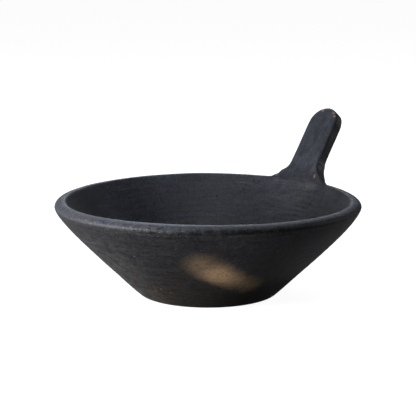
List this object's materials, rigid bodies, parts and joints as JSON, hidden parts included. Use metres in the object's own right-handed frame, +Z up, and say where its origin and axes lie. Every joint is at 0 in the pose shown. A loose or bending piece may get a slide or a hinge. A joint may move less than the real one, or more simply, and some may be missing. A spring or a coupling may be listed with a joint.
{
  "type": "clay bowl with handle",
  "caption": "Open conical bowl of burnished black clay with a flat base, a thick crowned lip and one upright paddle handle leaning outward from the rim.",
  "frame": {"origin": "centre of the flat resting face on the underside", "axes": "+Z up along the bowl's axis, +Y from the axis towards the handle, +X across the handle to the right of someone looking at it from the middle of the bowl"},
  "size_m": [0.25, 0.2939, 0.1379],
  "materials": {
    "clay_wall": "burnished, soft sheen, smoke blackened",
    "clay_lip": "burnished, worn lighter and blue grey",
    "clay_handle": "burnished, soft sheen, small chips to the tan body"
  },
  "bodies": {
    "root": {"base_slab": "clay_wall", "lower_wall": "clay_wall", "upper_wall": "clay_wall", "rim_coil": "clay_lip", "handle_paddle": "clay_handle", "handle_pad": "clay_handle", "handle_heel": "clay_wall", "web_left": "clay_handle", "web_right": "clay_handle"}
  },
  "joints": []
}
